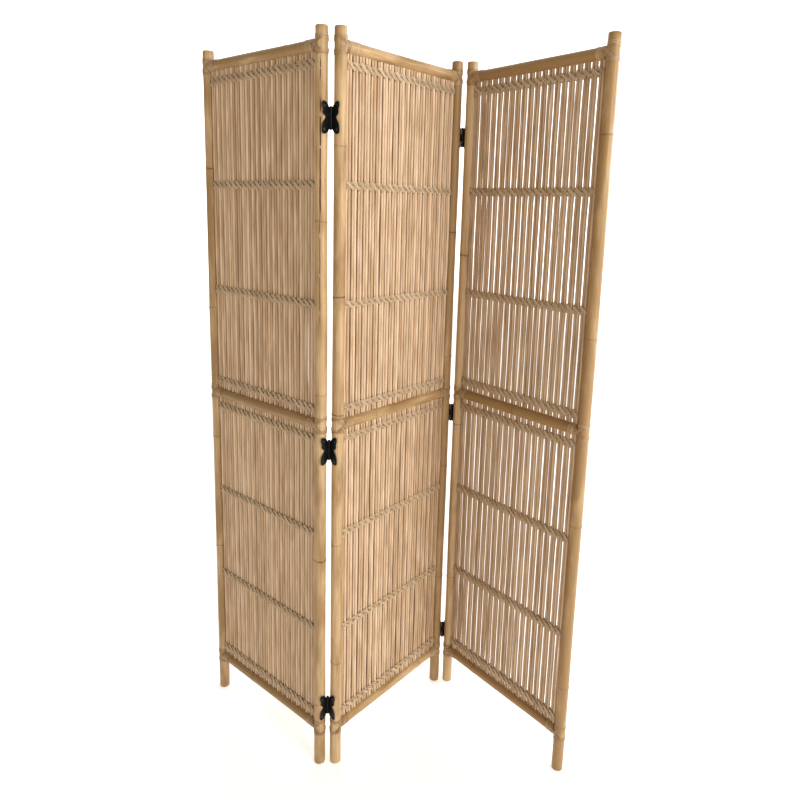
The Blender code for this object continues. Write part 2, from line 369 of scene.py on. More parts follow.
@dataclass(frozen=True)
class CutEndFinish:
    """The sawn end of a rattan pole: pale pith full of pores in a darker rim."""

    name: str = "sawn_rattan_end"
    radius: float = 14 * MM

    def material(self) -> bpy.types.Material:
        """Build the finish, which reads the field fibre from the mesh.

        Returns:
            The material.
        """
        graph = Graph(self.name)
        fibre = graph.attribute("fibre").outputs["Vector"]
        flat = graph.scaled(fibre, (1.0, 1.0, 0.0))
        pores = graph.node(
            "ShaderNodeTexVoronoi", {"voronoi_dimensions": "2D"}, {"Vector": flat, "Scale": 950.0}
        )
        holes = 1 - graph.between(Value(graph, pores.outputs["Distance"]), 0.16, 0.34)
        from_middle = graph.node("ShaderNodeVectorMath", {"operation": "LENGTH"}, {0: flat}).outputs["Value"]
        rim = graph.between(Value(graph, from_middle), self.radius * 0.82, self.radius * 0.97)
        clouds = graph.noise(graph.scaled(fibre, (160.0, 160.0, 0.0)), 2.0)
        colour = graph.mix(clouds, (0.74, 0.56, 0.35), (0.60, 0.42, 0.23))
        colour = graph.mix(holes * 0.7, colour, (0.20, 0.11, 0.045))
        colour = graph.mix(rim * 0.6, colour, (0.34, 0.20, 0.09))
        graph.bump(1 - holes, 0.5, 0.3 * MM)
        return graph.finish(Base_Color=colour, Roughness=0.82)


@dataclass(frozen=True)
class SteelFinish:
    """Black enamelled steel, rubbed to a dull grey where it is handled."""

    name: str
    enamel: Colour
    rubbed: Colour
    roughness: float
    wear: float

    def material(self) -> bpy.types.Material:
        """Build the finish from places in the frame.

        Returns:
            The material.
        """
        graph = Graph(self.name)
        place = graph.node("ShaderNodeTexCoord", {}, {}).outputs["Object"]
        grit = graph.noise(graph.scaled(place, (900.0, 900.0, 900.0)), 3.0, 0.6)
        clouds = graph.noise(graph.scaled(place, (140.0, 140.0, 110.0)), 3.0, 0.6)
        worn = graph.between(clouds, 0.62 - self.wear, 0.72 - self.wear) * 0.7
        colour = graph.mix(worn, self.enamel, self.rubbed)
        graph.bump(grit, 0.35, 0.12 * MM)
        rough = grit * 0.18 + worn * 0.15 + (self.roughness - 0.1)
        return graph.finish(Base_Color=colour, Roughness=rough, Metallic=worn * 0.6, Specular_IOR_Level=0.4)


POLE_FINISH = RattanFinish(
    name="peeled_rattan_pole",
    pale=(0.67, 0.485, 0.295),
    warm=(0.54, 0.365, 0.185),
    deep=(0.35, 0.21, 0.085),
    scar_and_shade=(0.11, 0.045, 0.015),
    streak_width=2.4 * MM,
    streak_length=90 * MM,
    specks=0.0,
    roughness=0.47,
    relief=0.16 * MM,
    coat=0.12,
)
ROD_FINISH = RattanFinish(
    name="peeled_rattan_rods",
    pale=(0.83, 0.655, 0.48),
    warm=(0.75, 0.56, 0.385),
    deep=(0.53, 0.36, 0.215),
    scar_and_shade=(0.14, 0.065, 0.028),
    streak_width=1.3 * MM,
    streak_length=60 * MM,
    specks=-0.01,
    roughness=0.56,
    relief=0.12 * MM,
)
BAND_FINISH = RattanFinish(
    name="woven_cane_strands",
    pale=(0.95, 0.79, 0.60),
    warm=(0.88, 0.70, 0.49),
    deep=(0.62, 0.44, 0.26),
    scar_and_shade=(0.17, 0.085, 0.03),
    streak_width=0.7 * MM,
    streak_length=22 * MM,
    specks=-0.02,
    roughness=0.50,
    relief=0.10 * MM,
)
LASHING_FINISH = RattanFinish(
    name="lashed_cane_skin",
    pale=(0.72, 0.535, 0.34),
    warm=(0.62, 0.44, 0.26),
    deep=(0.42, 0.27, 0.13),
    scar_and_shade=(0.18, 0.085, 0.03),
    streak_width=0.9 * MM,
    streak_length=30 * MM,
    specks=-0.02,
    roughness=0.42,
    relief=0.08 * MM,
    coat=0.2,
)
HINGE_FINISH = SteelFinish("black_enamel_steel", (0.006, 0.0055, 0.0065), (0.045, 0.042, 0.044), 0.40, -0.03)
PIN_FINISH = SteelFinish("black_pin_steel", (0.014, 0.013, 0.014), (0.12, 0.115, 0.11), 0.36, 0.08)
SCREW_FINISH = SteelFinish("darkened_screw_steel", (0.03, 0.028, 0.028), (0.24, 0.23, 0.22), 0.34, 0.14)


# ---------------------------------------------------------------- meshes


def unit(vectors: Array) -> Array:
    """Return vectors made one long."""
    return vectors / np.maximum(np.linalg.norm(vectors, axis=-1, keepdims=True), 1e-12)


class Section(Enum):
    """A strand's cross-section, as shares of its half width and half thickness."""

    ROUND = 12
    CANE = 6
    STRIP = 10

    def outline(self) -> Array:
        """Return the section's corners in order round it.

        Returns:
            The corners, across and outward.
        """
        angles = 2 * np.pi * (np.arange(self.value) + 0.5) / self.value
        power = {Section.ROUND: 1.0, Section.CANE: 0.85, Section.STRIP: 0.5}[self]
        wave = np.stack([np.cos(angles), np.sin(angles)], 1)
        return np.sign(wave) * np.abs(wave) ** power


# Painted shade along the sides of each section, standing for shade in the grooves between strands and turns.
EDGE_SHADE = {Section.ROUND: 0.0, Section.CANE: 0.75, Section.STRIP: 0.7}


@dataclass
class Strands:
    """Swept strands of one piece, with the fields that their finish reads."""

    points: list[Array] = field(default_factory=list)
    quads: list[Array] = field(default_factory=list)
    caps: list[Array] = field(default_factory=list)
    fibre: list[Array] = field(default_factory=list)
    tone: list[Array] = field(default_factory=list)
    scar_and_shade: list[Array] = field(default_factory=list)
    count: int = 0

    def rings(self, rings: Array, fibre: Array, tone: Array, scar_and_shade: Array) -> None:
        """Join rings of points into closed tubes.

        Args:
            rings: Points, by tube, ring and side.
            fibre: Places across and along the fibre, shaped as the rings.
            tone: A number for each tube.
            scar_and_shade: How dark each point is, for scars and painted shade.
        """
        tubes, length, sides = rings.shape[:3]
        index = self.count + np.arange(tubes * length * sides).reshape(tubes, length, sides)
        after = np.roll(index, -1, axis=2)
        faces = np.stack([index[:, :-1], after[:, :-1], after[:, 1:], index[:, 1:]], -1)
        self.quads.append(faces.reshape(-1, 4))
        self.caps.append(np.concatenate([index[:, 0, ::-1], index[:, -1]]))
        self.points.append(rings.reshape(-1, 3))
        self.fibre.append(fibre.reshape(-1, 3))
        self.tone.append(np.broadcast_to(tone[:, None, None], rings.shape[:3]).reshape(-1))
        self.scar_and_shade.append(np.broadcast_to(scar_and_shade, rings.shape[:3]).reshape(-1))
        self.count += tubes * length * sides

    def sweep(
        self,
        paths: Array,
        outward: Array,
        half_width: Union[float, Array],
        half_thickness: Union[float, Array],
        section: Section,
        tone: Array,
        scar_and_shade: Union[float, Array] = 0.0,
        flank_shade: Union[float, Array] = 0.0,
    ) -> None:
        """Sweep a section along paths.

        Args:
            paths: Centre lines, by strand and point.
            outward: The way that the strand's skin faces, by strand and point.
            half_width: Half the strand's width, for all or by strand and point.
            half_thickness: Half its thickness, likewise.
            section: The cross-section.
            tone: A number for each strand.
            scar_and_shade: Painted shade over the strand, by strand and point.
            flank_shade: Painted shade on one side of the strand, by strand; the sign says which side.
        """
        strands, length = paths.shape[:2]
        tangent = unit(np.gradient(paths, axis=1))
        side = unit(np.cross(tangent, np.broadcast_to(outward, paths.shape)))
        skin = np.cross(side, tangent)
        outline = section.outline()
        wide = np.broadcast_to(half_width, (strands, length))[:, :, None, None] * outline[None, None, :, :1]
        deep = np.broadcast_to(half_thickness, (strands, length))[:, :, None, None] * outline[None, None, :, 1:]
        rings = paths[:, :, None] + side[:, :, None] * wide + skin[:, :, None] * deep
        steps = np.linalg.norm(np.diff(paths, axis=1), axis=2)
        run = np.concatenate([np.zeros((strands, 1)), np.cumsum(steps, 1)], 1) + tone[:, None] * 37.0
        along = np.broadcast_to(run[:, :, None, None], wide.shape)
        # Painted shade darkening the sides of the section.
        edge = EDGE_SHADE[section] * np.abs(outline[:, 0]) ** 3
        # Painted shade on one chosen side of the strand.
        sides = np.broadcast_to(flank_shade, (strands,))[:, None]
        facing = np.clip(np.sign(sides) * outline[None, :, 0], 0, 1) ** 2.5 * np.abs(sides)
        # All painted shade: over the whole strand, along the sides of its section, and on one chosen side.
        dark = np.broadcast_to(scar_and_shade, (strands, length))[:, :, None] + edge + facing[:, None, :]
        self.rings(rings, np.concatenate([wide, deep, along], -1), tone, np.clip(dark, 0, 1))

    def mesh(self, name: str, materials: list[bpy.types.Material], cap_material: int = 0) -> bpy.types.Mesh:
        """Return the strands as one mesh.

        Args:
            name: The mesh's name.
            materials: Its materials, the first for the tubes.
            cap_material: Which material the tubes' ends take.

        Returns:
            The mesh, smooth but for the rims of its ends.
        """
        quads = np.concatenate(self.quads)
        caps = [cap for group in self.caps for cap in group]
        corners = np.concatenate([quads.reshape(-1), *caps])
        sizes = np.array([4] * len(quads) + [len(cap) for cap in caps])
        mesh = bpy.data.meshes.new(name)
        mesh.vertices.add(self.count)
        mesh.vertices.foreach_set("co", np.concatenate(self.points).astype(np.float32).reshape(-1))
        mesh.loops.add(len(corners))
        mesh.loops.foreach_set("vertex_index", corners.astype(np.int32))
        mesh.polygons.add(len(sizes))
        mesh.polygons.foreach_set("loop_start", np.concatenate([[0], np.cumsum(sizes)[:-1]]).astype(np.int32))
        slots = np.zeros(len(sizes), np.int32)
        slots[len(quads):] = cap_material
        mesh.polygons.foreach_set("material_index", slots)
        mesh.update(calc_edges=True)
        store(mesh, "fibre", "FLOAT_VECTOR", np.concatenate(self.fibre))
        store(mesh, "tone", "FLOAT", np.concatenate(self.tone))
        # Scars on poles; painted shade on rods, bands and lashings.
        store(mesh, "scar_and_shade", "FLOAT", np.concatenate(self.scar_and_shade))
        for material in materials:
            mesh.materials.append(material)
        mesh.shade_smooth()
        mesh.set_sharp_from_angle(angle=math.radians(50))
        return mesh


def store(mesh: bpy.types.Mesh, name: str, kind: str, values: Array) -> None:
    """Keep a field of values on a mesh's points.

    Args:
        mesh: The mesh.
        name: The field's name.
        kind: FLOAT or FLOAT_VECTOR.
        values: The values, point by point.
    """
    key = "vector" if kind == "FLOAT_VECTOR" else "value"
    layer = mesh.attributes.new(name, kind, "POINT")
    layer.data.foreach_set(key, values.astype(np.float32).reshape(-1))


def show(name: str, mesh: bpy.types.Mesh, body: str, slot: Slot, *nodes: str) -> bpy.types.Object:
    """Put a piece in the scene, ride it on a frame body and hide the frame nodes that it stands for.

    Args:
        name: The piece's name.
        mesh: Its mesh, in the frame's space.
        body: The frame body that it moves with.
        slot: The record's material slot; not used.
        nodes: The frame nodes that it stands for.

    Returns:
        The piece.
    """
    piece = bpy.data.objects.new(name, mesh)
    bpy.context.scene.collection.objects.link(piece)
    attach(piece, body)
    if nodes:
        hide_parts(*nodes)
    LOG.info("%s rides on %s, %d faces", name, body, len(mesh.polygons))
    return piece


def middle_of(node: str) -> Vector:
    """Return the middle of a frame node's box."""
    low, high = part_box(node)
    return (low + high) / 2


@dataclass(frozen=True)
class PanelFrame:
    """Where a panel stands."""

    name: str
    middle: Vector
    along: Vector
    half_spacing: float
    height: float

    @classmethod
    def of(cls, name: str) -> "PanelFrame":
        """Read a panel's place from its posts.

        Args:
            name: The panel's body.

        Returns:
            The panel's place.
        """
        left = middle_of(f"{name}_left_post")
        right = middle_of(f"{name}_right_post")
        run = Vector((right.x - left.x, right.y - left.y, 0))
        foot = Vector(((left.x + right.x) / 2, (left.y + right.y) / 2, 0))
        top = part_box(f"{name}_left_post")[1].z
        return cls(name, foot, run.normalized(), run.length / 2, top)

    @property
    def matrix(self) -> Matrix:
        """The panel's local space, as a matrix to the frame's space.

        Returns:
            The matrix.
        """
        back = Vector((0, 0, 1)).cross(self.along)
        axes = Matrix((self.along, back, Vector((0, 0, 1)))).transposed().to_4x4()
        return Matrix.Translation(self.middle) @ axes

    def rail_height(self, level: str) -> float:
        """Return the height of a rail's centre."""
        return middle_of(f"{self.name}_{level}_rail").z


def placed(points: Array, matrix: Matrix) -> Array:
    """Return points moved by a matrix."""
    table = np.array(matrix)
    return points @ table[:3, :3].T + table[:3, 3]


# ---------------------------------------------------------------- poles


@dataclass(frozen=True)
class GrowthRing:
    """A node ring round a pole, a darker mark where a leaf grew."""

    place: float
    darkness: float = 0.5
    swell: float = 0.5 * MM
    tilt: float = 1.2 * MM
    turn: float = 0.0


@dataclass
class Pole:
    """A peeled rattan pole between two points."""

    name: str
    start: Array
    end: Array
    across: Array
    radius: float
    rings: list[GrowthRing]
    seed: int
    cope: float = 0.0
    chamfer: float = 0.0
    calm: tuple[float, ...] = ()
    tone: float = 0.45
    sides: int = 36

    SWELL_LENGTH = 6.0 * MM
    RIDGE = 0.22 * MM
    RIDGE_LENGTH = 1.1 * MM
    RING_STEPS = (-13, -9, -6, -4, -2.8, -2, -1.4, -0.9, -0.45, 0, 0.45, 0.9, 1.4, 2, 2.8, 4, 6, 9, 13)

    def stations(self, length: float) -> Array:
        """Return the places along the pole that get a ring of points.

        Args:
            length: The pole's length.

        Returns:
            The places, in order.
        """
        places = [np.linspace(0, length, int(length / 0.014))]
        places += [ring.place + np.array(self.RING_STEPS) * MM for ring in self.rings]
        if self.chamfer:
            places.append(np.array([self.chamfer, length - self.chamfer]))
        every = np.unique(np.round(np.concatenate(places), 5))
        every = every[(every >= 0) & (every <= length + 0.00001)]
        keep = np.concatenate([[True], np.diff(every) > 0.0003])
        keep[-1] = True
        return every[keep]

    def mesh(self, materials: list[bpy.types.Material]) -> bpy.types.Mesh:
        """Return the pole's mesh, its ends in the second material.

        Args:
            materials: The finishes of its skin and its ends.

        Returns:
            The mesh.
        """
        chance = np.random.default_rng(self.seed)
        axis = self.end - self.start
        length = float(np.linalg.norm(axis))
        axis = axis / length
        other = np.cross(axis, self.across)
        along = self.stations(length)[:, None]
        angle = (2 * np.pi * np.arange(self.sides) / self.sides)[None]
        quiet = np.ones_like(along)
        for place in self.calm:
            quiet = quiet * (1 - np.exp(-(((along - place) / 0.07) ** 2)))
        radius = self.radius + 0.22 * MM * quiet * np.sin(along * chance.uniform(9, 17) + chance.uniform(0, 6))
        radius = radius + 0.12 * MM * np.sin(2 * angle + chance.uniform(0, 6) + along * 2)
        # Poles put only their ring marks here: darker at each ring and a little below it.
        scar_and_shade = np.zeros((len(along), self.sides))
        for ring in self.rings:
            away = along - ring.place - ring.tilt * np.cos(angle - ring.turn)
            radius = radius + ring.swell * np.exp(-((away / self.SWELL_LENGTH) ** 2))
            radius = radius + self.RIDGE * np.exp(-((away / self.RIDGE_LENGTH) ** 2))
            uneven = 0.8 + 0.3 * np.sin(3 * angle + ring.turn * 5) * np.sin(angle * 2 + ring.place * 40)
            width = 0.9 * MM + 1.1 * MM * ring.darkness
            scar_and_shade = np.maximum(scar_and_shade, ring.darkness * uneven * np.exp(-((away / width) ** 2)))
            below = np.clip(-away / 0.012, 0, 1) * np.exp(-np.clip(-away, 0, 1) / 0.009)
            scar_and_shade = np.maximum(scar_and_shade, ring.darkness * 0.28 * below * (away < 0))
        if self.chamfer:
            near_end = np.minimum(along, length - along)
            radius = radius - np.clip(self.chamfer - near_end, 0, None)
        across = radius * np.cos(angle)
        aside = radius * np.sin(angle)
        drift = 0.5 * MM * quiet
        drift_x = drift * np.sin(along * chance.uniform(4, 7) + chance.uniform(0, 6))
        drift_y = drift * np.sin(along * chance.uniform(4, 7) + chance.uniform(0, 6))
        reach = along + np.zeros_like(angle)
        if self.cope:
            hollow = np.sqrt(np.clip(self.cope**2 - across**2, 0, None)) - 0.6 * MM
            reach = hollow + (along / length) * (length - 2 * hollow)
        points = (
            self.start
            + reach[..., None] * axis
            + (across + drift_x)[..., None] * self.across
            + (aside + drift_y)[..., None] * other
        )
        strands = Strands()
        fibre = np.stack([across, aside, reach + self.fibre_offset], -1)
        tone = self.tone + chance.uniform(-0.15, 0.15, 1)
        strands.rings(points[None], fibre[None], tone, np.clip(scar_and_shade, 0, 1)[None])
        return strands.mesh(self.name, materials, cap_material=1)

    @property
    def fibre_offset(self) -> float:
        """What the pole adds to its places along the fibre, so that no two look alike."""
        return 3.0 * (self.seed % 17)


# ---------------------------------------------------------------- weave


@dataclass(frozen=True)
class RodLay:
    """How a panel's rods lie: how thick they are and how far apart, and how much painted shade darkens their sides at
    the gaps between the pairs and the left rod of each pair.
    """

    girth: float
    spread: float
    stagger: float
    left_flank_shade: float
    right_flank_shade: float
    # Painted shade on the left rod of each pair, as if in its partner's shadow.
    left_shade: float = 0.0


@dataclass
class RodBay:
    """A bay's upright rods: pairs that draw together at the bands and wander between them."""

    name: str
    panel: PanelFrame
    low: float
    high: float
    bands: list[float]
    seed: int
    lay: RodLay

    PAIRS = 20
    PITCH = 19.6 * MM
    GRIP = 9.5 * MM
    SEGMENTS = 56
    HOLD, RELEASE = 12 * MM, 30 * MM
    LEAN, MOST_LEAN = 0.4 * MM, 0.9 * MM
    DEPTH, MOST_DEPTH = 0.4 * MM, 0.8 * MM
    WANDER = 0.35 * MM
    SETTLE_ROUNDS = 30

    def tightness(self, height: Array) -> Array:
        """Return 1 where a band holds the rods and 0 far from it."""
        away = [np.clip(np.abs(height - band) - self.HOLD, 0, None) for band in self.bands]
        return np.max([np.exp(-((distance / self.RELEASE) ** 2)) for distance in away], axis=0)

    def strands(self) -> Strands:
        """Return the rods.

        Returns:
            The strands, one to a rod.
        """
        chance = np.random.default_rng(self.seed)
        count = 2 * self.PAIRS
        low, high = self.low + self.GRIP, self.high - self.GRIP
        height = np.linspace(low, high, self.SEGMENTS)[None]
        loose = 1 - self.tightness(height)
        pair = np.repeat(np.arange(self.PAIRS), 2)[:, None]
        side = np.tile([-1.0, 1.0], self.PAIRS)[:, None]
        thick = self.lay.girth / 2 * chance.uniform(0.965, 1.04, (count, 1))
        x = (pair + 0.5) * self.PITCH - self.PAIRS * self.PITCH / 2 + side * self.lay.girth * 0.5
        spans = (height[0, :, None] > np.array(self.bands)[None, :]).sum(1)
        lean = chance.normal(0, self.LEAN, (count, len(self.bands) + 1))
        lean = np.clip(lean, -self.MOST_LEAN, self.MOST_LEAN)
        x = x + side * self.lay.spread * (0.6 + 0.4 * loose) + lean[:, spans] * loose
        wave = chance.uniform(5, 13, (count, 1)) * height + chance.uniform(0, 6.3, (count, 1))
        x = x + self.WANDER * loose * np.sin(wave) + 0.12 * MM * np.sin(wave * 4.1)
        y = np.clip(chance.normal(0, self.DEPTH, (count, 1)), -self.MOST_DEPTH, self.MOST_DEPTH)
        y = y * (0.25 + 0.75 * loose)
        y = y + self.WANDER * loose * np.sin(wave * 1.3 + 2) + side * self.lay.stagger
        edge = self.PAIRS * self.PITCH / 2 - self.lay.girth / 2 + 0.6 * MM
        for _ in range(self.SETTLE_ROUNDS):
            need = (thick[1:] + thick[:-1]) ** 2 - (y[1:] - y[:-1]) ** 2
            short = np.sqrt(np.clip(need, 0, None)) - (x[1:] - x[:-1])
            push = np.clip(short, 0, None) / 2
            x[:-1] -= push
            x[1:] += push
            x = np.clip(x, -edge, edge)
        swell = 1 + 0.03 * np.sin(chance.uniform(9, 30, (count, 1)) * height + chance.uniform(0, 6.3, (count, 1)))
        path = np.stack([x, y, np.broadcast_to(height, x.shape)], -1)
        world = placed(path, self.panel.matrix)
        outward = -np.array(self.panel.matrix)[:3, 1]
        tone = chance.beta(1.6, 2.4, count)
        strands = Strands()
        # Painted shade: the left rod of each pair darkened as if shadowed by its partner.
        shade = np.where(side < 0, self.lay.left_shade, 0.0)
        # Painted shade on the sides of the rods that face the gaps between the pairs.
        flank_shade = np.tile([-self.lay.left_flank_shade, self.lay.right_flank_shade], self.PAIRS)
        strands.sweep(world, outward, thick * swell, thick * swell, Section.ROUND, tone, shade, flank_shade)
        return strands


@dataclass
class Bands:
    """The woven bands across a bay's rods: bundles of three thin cane strands, slanting both ways."""

    name: str
    panel: PanelFrame
    heights: list[float]
    seed: int
    girth: float

    HALF_HEIGHT = 10 * MM
    HALF_WIDTH = 1.2 * MM
    HALF_THICKNESS = 0.75 * MM
    STRAND_STEP = 2.05
    POINTS = 12
    LAYERS = ((1.0, 1.1, 0.4 * MM), (-1.0, 1.35, 2.1 * MM))  # slant, span and height off the rods
    # Painted shade on the lower layer of strands, which lies under the other.
    INNER_SHADE = 0.12

    def bundle_paths(
        self, face: float, slant: float, span: float, level: float, chance: np.random.Generator
    ) -> Array:
        """Return the centre lines of one layer of one band, in the panel's local space about the band's middle.

        Args:
            face: -1 for the panel's front and 1 for its back.
            slant: -1 for strands that fall to the right and 1 for strands that rise.
            span: How many pairs a strand passes over.
            level: How far off the rods the layer lies.
            chance: The source of small differences.

        Returns:
            Paths, by strand and point.
        """
        pitch, edge = RodBay.PITCH, RodBay.PAIRS * RodBay.PITCH / 2
        starts = np.arange(-math.ceil(span) + 1, RodBay.PAIRS) * pitch - edge
        starts = np.repeat(starts, 3)[:, None]
        place = np.tile([-1.0, 0.0, 1.0], len(starts) // 3)[:, None]
        low, high = np.maximum(starts, -edge - 0.8 * MM), np.minimum(starts + span * pitch, edge + 0.8 * MM)
        share = (1 - np.cos(np.linspace(0, np.pi, self.POINTS)))[None] / 2
        x = low + (high - low) * share
        run = (x - starts) / (span * pitch)
        if slant < 0:
            z = (self.HALF_HEIGHT - 2.6 * MM) * np.cos(np.pi * np.clip(run, 0, 1))
        else:
            z = -(self.HALF_HEIGHT - 2.2 * MM) + (self.HALF_HEIGHT + 4 * MM) * run**0.85
        across = place * self.HALF_WIDTH * self.STRAND_STEP
        z = z + across + chance.normal(0, 0.12 * MM, (len(starts), 1))
        x = x - slant * across * 0.45
        near_end = np.minimum(x - low, high - x) / (3.4 * MM)
        rise = np.sqrt(np.clip(1 - (1 - np.clip(near_end, 0, 1)) ** 2, 0, 1))
        y = face * (self.girth / 2 + level) * (0.12 + 0.88 * rise)
        y = y + face * chance.uniform(-0.15, 0.2, (len(starts), 1)) * MM
        return np.stack([x, y, z], -1)

    def strands(self) -> Strands:
        """Return every band of the bay.

        Returns:
            The strands of all its bands.
        """
        chance = np.random.default_rng(self.seed)
        strands = Strands()
        matrix = self.panel.matrix
        back = np.array(matrix)[:3, 1]
        for height in self.heights:
            for face in (-1.0, 1.0):
                for slant, span, level in self.LAYERS:
                    if face > 0:
                        span = max(span * 0.5, 1.0)
                    path = self.bundle_paths(face, slant, span, level, chance)
                    path[..., 2] += height
                    tone = chance.beta(1.7, 2.2, len(path))
                    # Painted shade on the strands that lie under the other layer.
                    under_shade = self.INNER_SHADE if slant > 0 else 0.0
                    strands.sweep(
                        placed(path, matrix), face * back, self.HALF_WIDTH, self.HALF_THICKNESS, Section.CANE,
                        tone, under_shade,
                    )  # fmt: skip
        return strands


# ---------------------------------------------------------------- lashings


@dataclass
class Lashing:
    """Split cane bound round a post and the end of a rail."""

    name: str
    panel: PanelFrame
    side: float
    height: float
    sleeve: float
    seed: int

    POST_RADIUS = 14 * MM
    RAIL_RADIUS = 13.5 * MM

    def to_world(self, path: Array) -> Array:
        """Move a path from the joint's space, its X along the rail, to the frame's space.

        Args:
            path: The points.

        Returns:
            The moved points.
        """
        local = path * np.array([self.side, 1.0, 1.0])
        local = local + np.array([-self.side * self.panel.half_spacing, 0.0, self.height])
        return placed(local, self.panel.matrix)

    def direction(self, vectors: Array) -> Array:
        """Turn directions from the joint's space to the frame's."""
        return (vectors * np.array([self.side, 1.0, 1.0])) @ np.array(self.panel.matrix)[:3, :3].T

    def strands(self) -> Strands:
        """Return the lashing's turns and crossings.

        Returns:
            The strands.
        """
        chance = np.random.default_rng(self.seed)
        strands = Strands()
        self._collar(strands, chance, 1.0)
        self._collar(strands, chance, -1.0)
        self._sleeve(strands, chance)
        self._crossings(strands, chance)
        return strands

    def _collar(self, strands: Strands, chance: np.random.Generator, way: float) -> None:
        """Wind thin turns round the post, above the rail or below it.

        Args:
            strands: What the turns are added to.
            chance: The source of small differences.
            way: 1 for above and -1 for below.
        """
        turns, step = 3, 2.9 * MM
        angle = np.linspace(0, 2 * np.pi * turns, 30 * turns + 1) + chance.uniform(0, 6)
        radius = self.POST_RADIUS + 0.5 * MM
        height = way * (11.6 * MM + step * (angle - angle[0]) / (2 * np.pi))
        height = height + 0.25 * MM * np.sin(angle * 0.7 + chance.uniform(0, 6))
        path = np.stack([radius * np.cos(angle), radius * np.sin(angle), height], -1)
        outward = np.stack([np.cos(angle), np.sin(angle), 0 * angle], -1)
        self._lay(strands, path[None], outward[None], 1.1 * MM, 0.42 * MM, chance)

    def _sleeve(self, strands: Strands, chance: np.random.Generator) -> None:
        """Wind flat turns side by side along the rail from the post.

        Args:
            strands: What the turns are added to.
            chance: The source of small differences.
        """
        step = 4.9 * MM
        turns = self.sleeve / step
        angle = np.linspace(0, 2 * np.pi * turns, int(32 * turns)) + chance.uniform(1.2, 2.0)
        radius = self.RAIL_RADIUS + 0.6 * MM
        reach = self.POST_RADIUS + 1.5 * MM + step * (angle - angle[0]) / (2 * np.pi) + 2.4 * MM
        path = np.stack([reach, radius * np.cos(angle), radius * np.sin(angle)], -1)
        outward = np.stack([0 * angle, np.cos(angle), np.sin(angle)], -1)
        self._lay(strands, path[None], outward[None], 2.4 * MM, 0.5 * MM, chance, Section.STRIP)

    def _crossings(self, strands: Strands, chance: np.random.Generator) -> None:
        """Lay strands in a cross over the joint, front and back.

        Args:
            strands: What they are added to.
            chance: The source of small differences.
        """
        for face in (-1.0, 1.0):
            for way in (1.0, -1.0):
                for place in (-1.0, 0.0, 1.0):
                    share = np.linspace(0, 1, 20)
                    x = -9 * MM + 30 * MM * share + place * 1.1 * MM
                    z = way * (13.4 * MM - 25 * MM * share + place * 2.3 * MM)
                    lift = (0.55 if way > 0 else 1.1) * MM
                    x, z = x + chance.normal(0, 0.3 * MM), z + chance.normal(0, 0.3 * MM)
                    on_post = np.sqrt(np.clip(self.POST_RADIUS**2 - x**2, 0, None))
                    on_rail = np.sqrt(np.clip(self.RAIL_RADIUS**2 - z**2, 0, None)) * (x > 8 * MM)
                    y = np.maximum(on_post, on_rail)
                    for _ in range(3):
                        y[1:-1] = np.maximum(y[1:-1], (y[:-2] + y[2:]) / 2)
                    path = np.stack([x, face * (y + lift), z], -1)
                    outward = np.stack([0 * x, face * (y + 4 * MM), 0.35 * z], -1)
                    self._lay(strands, path[None], unit(outward)[None], 1.15 * MM, 0.5 * MM, chance)

    def _lay(
        self,
        strands: Strands,
        path: Array,
        outward: Array,
        half_width: float,
        half_thickness: float,
        chance: np.random.Generator,
        section: Section = Section.CANE,
    ) -> None:
        """Add a strand that follows a path in the joint's space.

        Args:
            strands: What it is added to.
            path: Its centre line.
            outward: The way that its skin faces.
            half_width: Half its width.
            half_thickness: Half its thickness.
            chance: The source of small differences.
            section: Its cross-section.
        """
        tone = chance.beta(1.6, 2.4, len(path))
        strands.sweep(self.to_world(path), self.direction(outward), half_width, half_thickness, section, tone)


# ---------------------------------------------------------------- hinges


def smooth_closed(corners: list[tuple[float, float]], steps: int) -> list[Vector]:
    """Return a smooth closed curve through corners.

    Args:
        corners: The points it passes through.
        steps: How many points it gets from one corner to the next.

    Returns:
        The curve's points.
    """
    found = []
    count = len(corners)
    for index in range(count):
        a, b, c, d = (Vector(corners[(index + shift) % count]) for shift in (-1, 0, 1, 2))
        for step in range(steps):
            t = step / steps
            bend, twist = 2 * a - 5 * b + 4 * c - d, 3 * b - a - 3 * c + d
            found.append(0.5 * (2 * b + (c - a) * t + bend * t**2 + twist * t**3))
    return found


